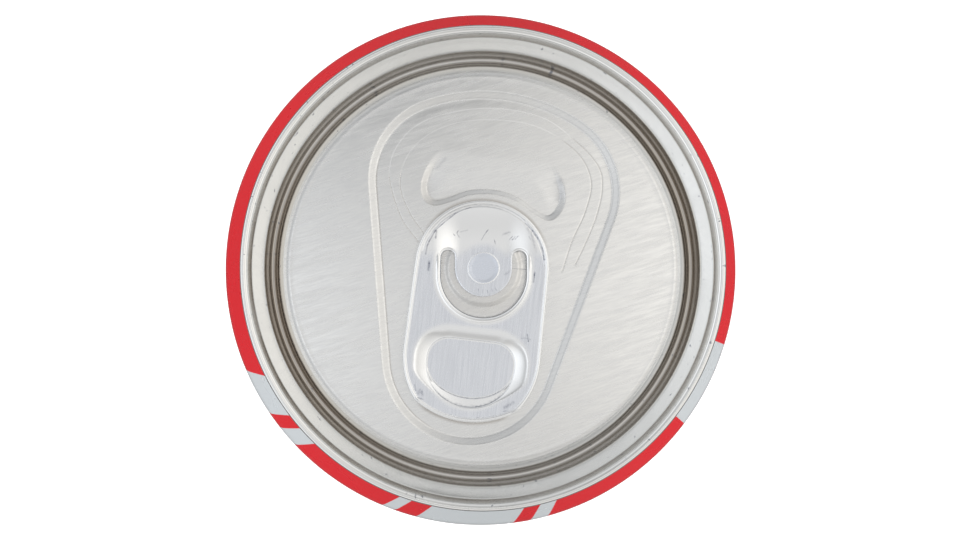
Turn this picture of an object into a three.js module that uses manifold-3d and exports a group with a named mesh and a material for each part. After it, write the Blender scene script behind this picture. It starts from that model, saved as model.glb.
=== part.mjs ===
// Sleek soda can, shut: the drawn body, the end seamed onto it and the pull tab.
// Millimetres, +Z up. The origin is the middle of the base, and +Y points to the drinking side.

import * as THREE from 'three';
import { mergeVertices } from 'three/addons/utils/BufferGeometryUtils.js';
import Module from 'manifold-3d';

// Body
const canHeight = 145.5;
const bodyRadius = 28.7;
const neckRadius = 26.2;
const footInner = 21.9;
const footOuter = 23.9;
const footLean = 0.2;
const domeEdge = 20.6;
const domeEdgeHeight = 3.2;
const domeFold = 2.6;
const domeHeight = 10.2;
const toeRadius = 25.4;
const toeHeight = 3.4;
const heelHeight = 9.5;
const shoulderDepth = 12.3;
const neckDepth = 5.2;

// End, with depths counted down from the top of the seam
const seamRadius = 27.0;
const seamHeight = 2.5;
const seamInner = 25.75;
const grooveOuter = 23.7;
const grooveInner = 22.75;
const grooveDepth = 6.85;
const panelRadius = 22.55;
const panelDepth = 4.45;
const endThickness = 0.4;
const endWall = 0.55;
const seamHook = 0.35;
const fitGap = 0.3;

// Recess in the end's panel: a drop shape that narrows towards the tab's heel
const recessReach = 19.4;
const recessCorner = 9.0;
const recessSide = 11.46;
const recessTail = 18.8;
const recessTilt = THREE.MathUtils.degToRad(12.45);
const recessDepth = 0.45;
const recessWall = 0.8;

// Opening: the two score lines and the shallow basin pressed into the tear panel
const scoreWidth = 0.3;
const scoreDepth = 0.15;
const basinDepth = 0.25;
const basinWall = 0.7;

// Tab, measured from the rivet with +Y to the nose
const tabTurn = THREE.MathUtils.degToRad(1.35);
const rivetX = 0.23;
const rivetY = 0;
const tabThickness = 1.2;
const tabEdge = 0.35;
const noseRadius = 7.45;
const tabFlare = THREE.MathUtils.degToRad(1.4);
const tabWaist = -9.85;
const tabHalfWidth = 7.69;
const tabSideRadius = 9.0;
const tabHeelAngle = THREE.MathUtils.degToRad(-38.5);
const heelReach = 17.3;
const slotRadius = 4.78;
const slotDrop = 0.75;
const slotCap = 0.65;
const islandRadius = 3.2;
const islandThickness = 0.45;
const hingeY = 3.5;
const rivetHead = 1.8;
const rivetHeadHeight = 0.45;
const rivetShank = 1.2;
const rivetHole = 1.5;
const wellHalfWidth = 4.87;
const wellTop = -8.25;
const wellWaist = -10.9;
const wellBottom = -14.66;
const wellCorner = 2.4;
const wellDepth = 0.5;
const lipBottom = -15.77;
const lipDepth = 0.25;
const wellWall = 0.3;

// Fineness of the facets
const turnSegments = 64;
const rivetSegments = 24;
const arcStep = THREE.MathUtils.degToRad(24);
const domeSteps = 4;
const outlineSegments = 7;
const scoreSteps = 36;

const wasm = await Module();
wasm.setup();

// A geometry as a closed solid: shared corners merged and flat triangles dropped
function toSolid(geometry) {
  geometry.deleteAttribute('normal');
  geometry.deleteAttribute('uv');
  const merged = mergeVertices(geometry);
  const corners = [];
  for (let i = 0; i < merged.index.count; i += 3) {
    const [a, b, c] = merged.index.array.slice(i, i + 3);
    if (a !== b && b !== c && c !== a) corners.push(a, b, c);
  }
  return new wasm.Manifold(new wasm.Mesh({
    numProp: 3,
    vertProperties: Float32Array.from(merged.attributes.position.array),
    triVerts: Uint32Array.from(corners),
  }));
}

// A solid as a geometry to put in a mesh
function toGeometry(solid) {
  const { vertProperties, triVerts } = solid.getMesh();
  const geometry = new THREE.BufferGeometry();
  geometry.setAttribute('position', new THREE.BufferAttribute(vertProperties, 3));
  geometry.setIndex(new THREE.BufferAttribute(triVerts, 1));
  geometry.computeVertexNormals();
  return geometry;
}

// Profile through corners [radius, height, fillet], with each fillet drawn as an arc
function roundedProfile(corners) {
  const points = [];
  corners.forEach(([radius, height, fillet = 0], i) => {
    const corner = new THREE.Vector2(radius, height);
    if (fillet === 0) {
      points.push(corner);
      return;
    }
    const back = new THREE.Vector2(...corners[i - 1]).sub(corner).normalize();
    const ahead = new THREE.Vector2(...corners[i + 1]).sub(corner).normalize();
    const halfAngle = Math.acos(back.dot(ahead)) / 2;
    const start = corner.clone().addScaledVector(back, fillet / Math.tan(halfAngle));
    const toCentre = back.clone().add(ahead).setLength(fillet / Math.sin(halfAngle));
    const centre = corner.clone().add(toCentre);
    const turn = (Math.PI - 2 * halfAngle) * Math.sign(ahead.cross(back));
    const steps = Math.ceil(Math.abs(turn) / arcStep);
    for (let k = 0; k <= steps; k++) {
      points.push(start.clone().rotateAround(centre, turn * k / steps));
    }
  });
  return points;
}

// Solid of revolution about Z from a profile that starts and ends on the axis
function turned(profile, segments) {
  return toSolid(new THREE.LatheGeometry(profile, segments).rotateX(Math.PI / 2));
}

// Cutter for a recess: the outline at its rim, sloping in over wall to the floor
function recessCutter(outline, floor, depth, wall, grow = 0) {
  const geometry = new THREE.ExtrudeGeometry(outline, {
    depth: panelDepth,
    curveSegments: outlineSegments,
    bevelSegments: 1,
    bevelThickness: depth,
    bevelSize: wall,
    bevelOffset: grow - wall,
  });
  return toSolid(geometry.translate(0, 0, floor + depth));
}

// V-shaped groove cutter along a smooth line through points at height z
function grooveCutter(points, z) {
  const path = new THREE.CatmullRomCurve3(points.map(([x, y]) => new THREE.Vector3(x, y, z)));
  const section = new THREE.Shape([
    new THREE.Vector2(scoreDepth, 0),
    new THREE.Vector2(-scoreDepth, -scoreWidth),
    new THREE.Vector2(-scoreDepth, scoreWidth),
  ]);
  return toSolid(new THREE.ExtrudeGeometry(section, { steps: scoreSteps, extrudePath: path }));
}

// Body: base dome, foot ring, straight wall, shoulder and neck, filled up to the end
function bodySolid() {
  const domeRise = domeHeight - domeEdgeHeight;
  const domeRadius = (domeEdge ** 2 + domeRise ** 2) / (2 * domeRise);
  const domeAngle = Math.asin(domeEdge / domeRadius);
  const dome = new THREE.Path().absarc(
    0, domeHeight - domeRadius, domeRadius, Math.PI / 2, Math.PI / 2 - domeAngle, true);
  const floor = canHeight - grooveDepth - endThickness - fitGap;
  const rim = canHeight - seamHeight - fitGap;
  const wall = roundedProfile([
    [domeEdge, domeEdgeHeight],
    [footInner - footLean, domeFold, 0.6],
    [footInner, 0, 0.7],
    [footOuter, 0, 0.9],
    [toeRadius, toeHeight, 3],
    [bodyRadius, heelHeight, 5],
    [bodyRadius, canHeight - shoulderDepth, 6],
    [neckRadius, canHeight - neckDepth, 4],
    [neckRadius, rim],
    [seamInner, rim],
    [grooveOuter + endWall + seamHook, floor],
    [0, floor],
  ]);
  const domePoints = dome.getPoints(domeSteps).slice(0, -1);
  domePoints[0].x = 0;
  return turned([...domePoints, ...wall], turnSegments);
}

// Outline of the panel's recess: four arcs joined by two straight sides
function recessOutline() {
  const tailY = (recessTail - recessSide) / (1 - Math.sin(recessTilt));
  const tailRadius = recessTail - tailY;
  const cornerReach = recessReach - recessCorner;
  const cornerAngle = Math.acos((recessSide - recessCorner) / cornerReach) - recessTilt;
  const cornerX = cornerReach * Math.cos(cornerAngle);
  const cornerY = cornerReach * Math.sin(cornerAngle);
  return new THREE.Shape()
    .absarc(0, -tailY, tailRadius, Math.PI + recessTilt, 2 * Math.PI - recessTilt)
    .absarc(cornerX, cornerY, recessCorner, -recessTilt, cornerAngle)
    .absarc(0, 0, recessReach, cornerAngle, Math.PI - cornerAngle)
    .absarc(-cornerX, cornerY, recessCorner, Math.PI - cornerAngle, Math.PI + recessTilt);
}

// Basin of the tear panel: a kidney round the tab's nose
function basinOutline() {
  return new THREE.Shape()
    .moveTo(-6.3, 11.6)
    .bezierCurveTo(-8.0, 9.6, -7.6, 6.2, -5.6, 7.1)
    .bezierCurveTo(-3.0, 9.2, 3.4, 9.2, 5.9, 6.9)
    .bezierCurveTo(7.8, 6.1, 8.6, 9.6, 6.9, 11.6)
    .lineTo(-6.3, 11.6);
}

// Outer and inner score lines, open towards the tab
const outerScore = [
  [-7.5, 2.0], [-9.85, 4.6], [-11.76, 9.18], [-11.0, 12.9], [-8.05, 15.8], [-2.1, 17.8], [4.06, 17.7],
  [8.3, 15.6], [11.2, 13.2], [12.0, 10.8], [11.8, 7.65], [11.0, 4.4], [10.25, 2.06],
];
const innerScore = [
  [-7.0, 3.0], [-9.04, 5.3], [-10.4, 8.3], [-9.76, 11.9], [-6.8, 14.9], [-2.1, 16.5], [3.65, 16.6],
  [8.45, 14.5], [10.64, 11.5], [10.5, 8.0], [9.5, 4.5], [8.9, 1.1],
];

// End: seam, chuck wall, groove and panel, with the recess, the opening and the rivet
function endSolid() {
  const underside = -grooveDepth - endThickness;
  const shell = turned(roundedProfile([
    [0, underside],
    [grooveOuter + endWall, underside, 0.3],
    [seamInner - seamHook, -seamHeight],
    [seamRadius, -seamHeight, 0.3],
    [seamRadius, 0, 0.65],
    [seamInner, 0, 0.6],
    [grooveOuter, -grooveDepth, 0.5],
    [grooveInner, -grooveDepth, 0.45],
    [panelRadius, -panelDepth, 0.6],
    [0, -panelDepth],
  ]), turnSegments);
  const floor = -panelDepth - recessDepth;
  const islandTop = floor + fitGap + islandThickness;
  const rivet = turned(roundedProfile([
    [0, floor - endThickness],
    [rivetShank, floor - endThickness],
    [rivetShank, islandTop + fitGap],
    [rivetHead, islandTop + fitGap],
    [rivetHead, islandTop + fitGap + rivetHeadHeight, 0.3],
    [0, islandTop + fitGap + rivetHeadHeight],
  ]), rivetSegments).translate([rivetX, rivetY, 0]);
  return shell
    .subtract(recessCutter(recessOutline(), floor, recessDepth, recessWall, recessWall / 2))
    .subtract(recessCutter(basinOutline(), floor - basinDepth, basinDepth, basinWall))
    .subtract(grooveCutter(outerScore, floor))
    .subtract(grooveCutter(innerScore, floor))
    .add(rivet);
}

// Outline of the tab, with the C-shaped slot round the rivet's island and the rivet's hole
function tabOutline() {
  const sideX = tabHalfWidth - tabSideRadius;
  const cornerX = sideX + tabSideRadius * Math.cos(tabHeelAngle);
  const cornerY = tabWaist + tabSideRadius * Math.sin(tabHeelAngle);
  const heelDrop = heelReach + cornerY;
  const heelRadius = (cornerX ** 2 + heelDrop ** 2) / (2 * heelDrop);
  const heelAngle = Math.asin(cornerX / heelRadius);
  const down = -Math.PI / 2;
  const outline = new THREE.Shape()
    .absarc(0, 0, noseRadius, tabFlare, Math.PI - tabFlare)
    .absarc(-sideX, tabWaist, tabSideRadius, Math.PI - tabFlare, Math.PI - tabHeelAngle)
    .absarc(0, heelRadius - heelReach, heelRadius, down - heelAngle, down + heelAngle)
    .absarc(sideX, tabWaist, tabSideRadius, tabHeelAngle, tabFlare);
  const capY = ((slotRadius - slotCap) ** 2 - (islandRadius + slotCap) ** 2 - slotDrop ** 2) / (2 * slotDrop);
  const capX = Math.sqrt((islandRadius + slotCap) ** 2 - capY ** 2);
  const outerAngle = Math.atan2(capY + slotDrop, capX);
  const innerAngle = Math.atan2(capY, capX);
  const slot = new THREE.Path()
    .absarc(0, -slotDrop, slotRadius, Math.PI - outerAngle, 2 * Math.PI + outerAngle)
    .absarc(capX, capY, slotCap, outerAngle, Math.PI + innerAngle)
    .absarc(0, 0, islandRadius, innerAngle, -Math.PI - innerAngle, true)
    .absarc(-capX, capY, slotCap, -innerAngle, Math.PI - outerAngle);
  const hole = new THREE.Path().absarc(0, 0, rivetHole, 0, 2 * Math.PI);
  outline.holes.push(slot, hole);
  return outline;
}

// Well in the heel end of the tab: square shoulders above, an elliptic foot at bottom
function wellOutline(bottom) {
  return new THREE.Shape()
    .absarc(wellHalfWidth - wellCorner, wellTop - wellCorner, wellCorner, 0, Math.PI / 2)
    .absarc(wellCorner - wellHalfWidth, wellTop - wellCorner, wellCorner, Math.PI / 2, Math.PI)
    .absellipse(0, wellWaist, wellHalfWidth, wellWaist - bottom, Math.PI, 2 * Math.PI);
}

// Room over the rivet's island, from the slot up to the hinge line
function islandOutline() {
  const reach = islandRadius + slotCap;
  return new THREE.Shape()
    .absarc(0, 0, reach, Math.PI, 2 * Math.PI)
    .lineTo(reach, hingeY)
    .lineTo(-reach, hingeY)
    .lineTo(-reach, 0);
}

// Tab: a rolled plate with its underside at z = 0
function tabSolid() {
  const plate = toSolid(new THREE.ExtrudeGeometry(tabOutline(), {
    depth: tabThickness - 2 * tabEdge,
    curveSegments: outlineSegments,
    bevelSegments: 2,
    bevelThickness: tabEdge,
    bevelSize: tabEdge,
    bevelOffset: -tabEdge,
  }).translate(0, 0, tabEdge));
  const islandRoom = tabThickness - islandThickness;
  return plate
    .subtract(recessCutter(islandOutline(), islandThickness, islandRoom, wellWall))
    .subtract(recessCutter(wellOutline(wellBottom), tabThickness - wellDepth, wellDepth, wellWall))
    .subtract(recessCutter(wellOutline(lipBottom), tabThickness - lipDepth, lipDepth, wellWall));
}

// One mesh for each piece
function piece(name, solid, color, roughness, metalness) {
  const material = new THREE.MeshStandardMaterial({ color, roughness, metalness });
  const mesh = new THREE.Mesh(toGeometry(solid), material);
  mesh.name = name;
  return mesh;
}

const body = piece('body', bodySolid(), 0xd62c38, 0.35, 0.4);
const end = piece('end', endSolid(), 0xd6d8da, 0.32, 1);
const tab = piece('tab', tabSolid(), 0xdfe2e6, 0.25, 1);

end.position.z = canHeight;
tab.position.set(rivetX, rivetY, canHeight - panelDepth - recessDepth + fitGap);
tab.rotation.z = tabTurn;

const can = new THREE.Group();
can.add(body, end, tab);

export default can;
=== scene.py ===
import math

import bpy
import numpy as np
from mathutils import Matrix, Vector
from mathutils.geometry import delaunay_2d_cdt


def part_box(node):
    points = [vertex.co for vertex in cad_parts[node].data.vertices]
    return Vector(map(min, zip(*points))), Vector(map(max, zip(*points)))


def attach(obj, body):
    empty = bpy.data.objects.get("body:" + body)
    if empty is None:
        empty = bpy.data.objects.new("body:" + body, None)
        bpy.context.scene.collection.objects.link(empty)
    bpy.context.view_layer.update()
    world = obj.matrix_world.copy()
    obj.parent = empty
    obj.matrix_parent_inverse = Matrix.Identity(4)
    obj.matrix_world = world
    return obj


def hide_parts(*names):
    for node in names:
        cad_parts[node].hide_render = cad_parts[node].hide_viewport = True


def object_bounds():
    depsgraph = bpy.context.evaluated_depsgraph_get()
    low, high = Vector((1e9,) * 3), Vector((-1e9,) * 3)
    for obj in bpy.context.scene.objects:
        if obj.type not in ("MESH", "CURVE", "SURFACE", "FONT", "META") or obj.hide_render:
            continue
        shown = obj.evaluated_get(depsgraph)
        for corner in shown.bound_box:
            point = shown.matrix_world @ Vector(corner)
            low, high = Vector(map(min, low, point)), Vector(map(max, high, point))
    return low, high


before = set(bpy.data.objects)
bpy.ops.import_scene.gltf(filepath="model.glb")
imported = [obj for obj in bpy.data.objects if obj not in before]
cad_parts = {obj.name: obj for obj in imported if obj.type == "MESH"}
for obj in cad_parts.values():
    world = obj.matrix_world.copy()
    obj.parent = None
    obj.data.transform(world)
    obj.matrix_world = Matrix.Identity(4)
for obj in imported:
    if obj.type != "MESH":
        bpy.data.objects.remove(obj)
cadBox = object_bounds()
mm = 0.001  # shapes are worked out in millimetres and stored in metres
canHeight = cadBox[1].z / mm
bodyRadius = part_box("body")[1].x / mm
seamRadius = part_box("end")[1].x / mm
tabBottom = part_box("tab")[0].z / mm
print("frame loaded: can", round(canHeight, 1), "mm tall,", round(2 * bodyRadius, 1), "mm across")


# smooth step: 0 below low, 1 above high, the cubic 3t^2 - 2t^3 between
def ease(x, low, high):
    t = np.clip((x - low) / (high - low), 0, 1)
    return t * t * (3 - 2 * t)


# even ramp: 0 below low, 1 above high, straight between, with its two ends rounded by a parabola
def ramp(x, low, high, soft=0.25):
    t = np.clip((x - low) / (high - low), 0, 1)
    bend = 2 * soft * (1 - soft)
    rising = np.where(t < soft, t**2 / bend, (t - soft / 2) / (1 - soft))
    return np.where(t > 1 - soft, 1 - (1 - t) ** 2 / bend, rising)


# ridge: 1 on a line, falling to 0 at the given distance from it
def ridge(distance, width):
    return ease(width - np.abs(distance), 0, width)


# profile with fillets: each corner (radius, height, fillet) becomes an arc tangent to its two sides
def roundedProfile(corners, stepDeg=5.0):
    rows = []
    for i, corner in enumerate(corners):
        point = np.array(corner[:2], float)
        fillet = corner[2] if len(corner) > 2 else 0
        if not fillet:
            rows.append(point[None])
            continue
        back = np.array(corners[i - 1][:2]) - point
        ahead = np.array(corners[i + 1][:2]) - point
        back /= np.linalg.norm(back)
        ahead /= np.linalg.norm(ahead)
        half = np.arccos(back @ ahead) / 2
        middle = (back + ahead) / np.linalg.norm(back + ahead)
        centre = point + middle * fillet / np.sin(half)
        spoke = point + back * fillet / np.tan(half) - centre
        turn = (np.pi - 2 * half) * np.sign(ahead[0] * back[1] - ahead[1] * back[0])
        angles = np.linspace(0, turn, int(abs(np.degrees(turn)) / stepDeg) + 3)
        cosines, sines = np.cos(angles), np.sin(angles)
        swung = [cosines * spoke[0] - sines * spoke[1], sines * spoke[0] + cosines * spoke[1]]
        rows.append(centre + np.column_stack(swung))
    return np.vstack(rows)


# turned surface: x = r cos a, y = r sin a, z = height, for every profile point and every even angle a
def turnedPoints(profile, segments):
    angles = np.linspace(0, 2 * np.pi, segments, endpoint=False)
    radii, heights = profile[:, :1], profile[:, 1:]
    grid = [radii * np.cos(angles), radii * np.sin(angles), heights + 0 * angles]
    return np.stack(grid, -1).reshape(-1, 3)


# quads between neighbouring rows of a grid whose columns close on themselves
def ringQuads(rowCount, segments):
    rows = np.arange(rowCount - 1)[:, None] * segments
    columns = np.arange(segments)[None]
    following = (columns + 1) % segments
    corners = [rows + columns, rows + following, rows + segments + following, rows + segments + columns]
    return np.stack(corners, -1).reshape(-1, 4)


# triangles from a closed ring of points to one pole
def poleFan(firstOfRing, segments, pole, poleAbove):
    ring = firstOfRing + np.arange(segments)
    following = np.roll(ring, -1)
    order = [ring, following] if poleAbove else [following, ring]
    return np.column_stack(order + [np.full(segments, pole)])


# arc: centre plus radius times (cos a, sin a) for even angles from start to end, in degrees
def arc(centre, radius, startDeg, endDeg, count=90):
    angles = np.radians(np.linspace(startDeg, endDeg, count))
    radii = np.broadcast_to(radius, 2)
    return np.array(centre) + radii * np.column_stack([np.cos(angles), np.sin(angles)])


# smooth line through a few points: Catmull-Rom, four neighbours weighted by cubics of t
def smoothLine(points, perSpan=30):
    points = np.array(points, float)
    held = np.vstack([2 * points[0] - points[1], points, 2 * points[-1] - points[-2]])
    a, b, c, d = held[:-3], held[1:-2], held[2:-1], held[3:]
    t = np.linspace(0, 1, perSpan, endpoint=False)[:, None, None]
    line = b + (c - a) * t / 2 + (2 * a - 5 * b + 4 * c - d) * t**2 / 2 + (3 * b - a - 3 * c + d) * t**3 / 2
    return np.vstack([line.transpose(1, 0, 2).reshape(-1, 2), points[-1:]])


# even points along a line: lengths are summed up, and places at equal steps read back from them
def resample(line, spacing, closed=True):
    if closed:
        line = np.vstack([line, line[:1]])
    steps = np.linalg.norm(np.diff(line, axis=0), axis=1)
    line = line[np.concatenate([[True], steps > 1e-6])]
    along = np.concatenate([[0], np.cumsum(steps[steps > 1e-6])])
    places = np.linspace(0, along[-1], int(along[-1] / spacing) + 2, endpoint=not closed)
    return np.column_stack([np.interp(places, along, line[:, 0]), np.interp(places, along, line[:, 1])])


# rows beside a line: every point moved along its left-hand normal by each offset
def besideLine(line, offsets, closed=True):
    run = np.roll(line, -1, 0) - np.roll(line, 1, 0) if closed else np.gradient(line, axis=0)
    run /= np.linalg.norm(run, axis=1)[:, None]
    normal = np.column_stack([-run[:, 1], run[:, 0]])
    return (line[None] + np.array(offsets)[:, None, None] * normal[None]).reshape(-1, 2)


# turn about the origin: x cos a - y sin a, x sin a + y cos a
def turnedBy(points, degrees):
    cosine, sine = math.cos(math.radians(degrees)), math.sin(math.radians(degrees))
    return points @ np.array([[cosine, sine], [-sine, cosine]])


# distance to a line: the nearest point of any of its segments, counted positive inside a closed line
def distanceTo(points, line, closed=True):
    starts = line if closed else line[:-1]
    ends = np.roll(line, -1, 0) if closed else line[1:]
    run = ends - starts
    runSquared = (run**2).sum(1)
    rise = np.where(run[:, 1] == 0, 1e-12, run[:, 1])
    found = []
    for part in np.array_split(points, len(points) * len(starts) // 1500000 + 1):
        gap = part[:, None] - starts[None]
        share = np.clip((gap * run).sum(-1) / runSquared, 0, 1)
        nearest = np.sqrt(((gap - share[..., None] * run) ** 2).sum(-1).min(1))
        crosses = (starts[:, 1] > part[:, 1:]) != (ends[:, 1] > part[:, 1:])
        toRight = starts[:, 0] + gap[..., 1] / rise * run[:, 0] > part[:, :1]
        inside = (crosses & toRight).sum(1) % 2 == 1
        found.append(np.where(inside, nearest, -nearest) if closed else nearest)
    return np.concatenate(found)


# scuffs and painted shade are strokes of (half width, strength, points): rows of points beside each of them
# and round its ends
def strokeRows(strokes):
    rows = []
    for half, _, points in strokes:
        line = resample(smoothLine(points), 0.6 * half, False)
        start, stop = 2 * line[0] - line[1], 2 * line[-1] - line[-2]
        line = np.vstack([2 * start - line[0], start, line, stop, 2 * stop - line[-1]])
        rows.append(besideLine(line, np.array([-1.3, -0.8, -0.4, 0, 0.4, 0.8, 1.3]) * half, False))
    return np.vstack(rows)


# darkness of the strokes, scuffs and painted shade alike: the strongest stroke at each point, full on its
# line and gone at its half width
def strokeShade(points, strokes):
    shade = np.zeros(len(points))
    for half, strength, stops in strokes:
        line = resample(smoothLine(stops), half, False)
        shade = np.maximum(shade, strength * (1 - ease(distanceTo(points, line, False), 0, half)))
    return shade


# even triangular lattice over a box, rows half a step apart from their neighbours
def lattice(low, high, spacing):
    xs = np.arange(low[0], high[0], spacing)
    ys = np.arange(low[1], high[1], spacing * math.sqrt(3) / 2)
    grid = np.stack(np.meshgrid(xs, ys), -1)
    grid[1::2, :, 0] += spacing / 2
    return grid.reshape(-1, 2)


# points with at most one in each small square cell, the first of them kept
def thinned(points, cell):
    _, first = np.unique(np.floor(points / cell).astype(int), axis=0, return_index=True)
    return points[np.sort(first)]


# points whose square cell holds none of the points already taken
def clearOf(points, taken, cell):
    keys = [np.floor(group / cell).astype(int) @ np.array([100003, 1]) for group in (points, taken)]
    return points[~np.isin(*keys)]


# flat Delaunay triangles over closed loops and loose points, those outside of the loops left out
def triangulated(loops, loose, inside):
    edges, start = [], 0
    for loop in loops:
        ring = start + np.arange(len(loop))
        edges.append(np.column_stack([ring, np.roll(ring, -1)]))
        start += len(loop)
    points = np.vstack([*loops, loose])
    flat, _, faces, *_ = delaunay_2d_cdt(points.tolist(), np.vstack(edges).tolist(), [], 1, 1e-7, False)
    flat, faces = np.array(flat), np.array(faces)
    if len(flat) != len(points):
        raise ValueError("two points of the flat pattern coincide")
    return points, faces[inside(flat[faces].mean(1))]


def addObject(name, data):
    made = bpy.data.objects.new(name, data)
    bpy.context.scene.collection.objects.link(made)
    return made


# one mesh object from points in millimetres, riding on the can and standing for a solid
def addPiece(name, points, faceArrays, material, node):
    faces = [face for part in faceArrays for face in part.tolist()]
    mesh = bpy.data.meshes.new(name)
    mesh.from_pydata((points * mm).tolist(), [], faces)
    mesh.shade_smooth()
    mesh.materials.append(material)
    piece = addObject(name, mesh)
    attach(piece, "root")
    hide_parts(node)
    print(name, "made:", len(points), "points,", len(faces), "faces")
    return piece


# one number for each point of a piece, for its material to read
def setAttribute(piece, name, values):
    piece.data.attributes.new(name, "FLOAT", "POINT").data.foreach_set("value", values)


# node helpers: an input goes by its name, with _ for a space, or by its place as i0, i1 and so on
def feed(tree, node, **inputs):
    for key, value in inputs.items():
        place = int(key[1:]) if key[0] == "i" and key[1:].isdigit() else key.replace("_", " ")
        if isinstance(value, bpy.types.NodeSocket):
            tree.links.new(value, node.inputs[place])
        else:
            node.inputs[place].default_value = value
    return node


def addNode(tree, kind, settings=None, **inputs):
    node = tree.nodes.new(kind)
    for key, value in (settings or {}).items():
        setattr(node, key, value)
    return feed(tree, node, **inputs)


def maths(tree, operation, *values):
    inputs = {f"i{i}": value for i, value in enumerate(values)}
    return addNode(tree, "ShaderNodeMath", {"operation": operation}, **inputs).outputs[0]


def vectors(tree, operation, **inputs):
    node = addNode(tree, "ShaderNodeVectorMath", {"operation": operation}, **inputs)
    return node.outputs["Value" if operation == "DOT_PRODUCT" else "Vector"]


def noise(tree, **inputs):
    return addNode(tree, "ShaderNodeTexNoise", **inputs).outputs["Fac"]


# smooth step in nodes: value mapped from low..high to start..stop, clamped
def mapped(tree, value, low, high, start=0.0, stop=1.0):
    inputs = dict(Value=value, From_Min=low, From_Max=high, To_Min=start, To_Max=stop)
    return addNode(tree, "ShaderNodeMapRange", {"interpolation_type": "SMOOTHSTEP"}, **inputs).outputs[0]


def mixedColour(tree, share, first, second):
    return addNode(tree, "ShaderNodeMix", {"data_type": "RGBA"}, i0=share, i6=first, i7=second).outputs[2]


def mixedValue(tree, share, first, second):
    return addNode(tree, "ShaderNodeMix", {"data_type": "FLOAT"}, i0=share, i2=first, i3=second).outputs[0]


# sum of two squares: x^2 + y^2
def squares(tree, x, y):
    return maths(tree, "ADD", maths(tree, "MULTIPLY", x, x), maths(tree, "MULTIPLY", y, y))


def attribute(tree, name):
    return addNode(tree, "ShaderNodeAttribute", {"attribute_name": name}).outputs["Fac"]


# x, y and z of a place, in millimetres
def millimetres(tree, place):
    scaled = vectors(tree, "SCALE", i0=place, Scale=1 / mm)
    return addNode(tree, "ShaderNodeSeparateXYZ", Vector=scaled).outputs


def newGroup(name, inputs, outputs):
    group = bpy.data.node_groups.new(name, "ShaderNodeTree")
    for socketName, kind, default in inputs:
        socket = group.interface.new_socket(socketName, in_out="INPUT", socket_type=kind)
        if default is not None:
            socket.default_value = default
    for socketName in outputs:
        group.interface.new_socket(socketName, in_out="OUTPUT", socket_type="NodeSocketFloat")
    return group, group.nodes.new("NodeGroupInput").outputs, group.nodes.new("NodeGroupOutput")


def placeGroup(tree, group, **inputs):
    return addNode(tree, "ShaderNodeGroup", {"node_tree": group}, **inputs).outputs


def newMaterial(name):
    material = bpy.data.materials.new(name)
    material.use_nodes = True
    tree = material.node_tree
    place = tree.nodes.new("ShaderNodeTexCoord").outputs["Object"]
    return material, tree, tree.nodes["Principled BSDF"], place


# rolling lines: noise drawn out along one direction, fine and coarse together
def makeRollingLines():
    group, given, made = newGroup("rollingLines", [
        ("Vector", "NodeSocketVector", None),
        ("Turn", "NodeSocketFloat", 0.0),
        ("Along", "NodeSocketFloat", 100.0),
        ("Across", "NodeSocketFloat", 5000.0),
    ], ["Lines", "Drift"])
    spin = addNode(group, "ShaderNodeVectorRotate", {"rotation_type": "Z_AXIS"},
                   Vector=given["Vector"], Angle=given["Turn"])
    stretch = addNode(group, "ShaderNodeCombineXYZ", X=given["Along"], Y=given["Across"], Z=given["Along"])
    fine = vectors(group, "MULTIPLY", i0=spin.outputs[0], i1=stretch.outputs[0])
    coarse = vectors(group, "SCALE", i0=fine, Scale=0.4)
    feed(group, made,
         Lines=noise(group, Vector=fine, Scale=1.0, Detail=3.0, Roughness=0.6),
         Drift=noise(group, Vector=coarse, Scale=1.0, Detail=2.0))
    return group


# handling marks: a soft cloud for smears, and rare specks where a noise nine times finer peaks
def makeHandling():
    group, given, made = newGroup("handling", [
        ("Vector", "NodeSocketVector", None),
        ("Size", "NodeSocketFloat", 300.0),
    ], ["Smear", "Specks"])
    finer = maths(group, "MULTIPLY", given["Size"], 9.0)
    cloud = noise(group, Vector=given["Vector"], Scale=given["Size"], Detail=4.0, Roughness=0.55)
    peaks = noise(group, Vector=given["Vector"], Scale=finer, Detail=2.0)
    feed(group, made, Smear=mapped(group, cloud, 0.4, 0.7), Specks=mapped(group, peaks, 0.69, 0.75))
    return group


rollingLines = makeRollingLines()
handling = makeHandling()

# can body
bodyPlan = {
    "segments": 288,
    "neckRadius": 26.2, "neckFillet": 4,
    "footInner": 21.9, "footOuter": 23.9, "footLean": 0.2, "footFillets": (0.7, 0.9),
    "domeEdge": 20.6, "domeEdgeHeight": 3.2, "domeFold": 2.6, "foldFillet": 0.6, "domeHeight": 10.2,
    "toe": (25.4, 3.4), "toeFillet": 3, "heelHeight": 9.5, "heelFillet": 5,
    "shoulderDepth": 12.3, "shoulderFillet": 6, "neckDepth": 5.2, "topDepth": 2.85,
    "insideRadius": 26.0, "innerWall": (24.85, 4.6), "innerFloor": (24.3, 7.55),
}


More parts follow.
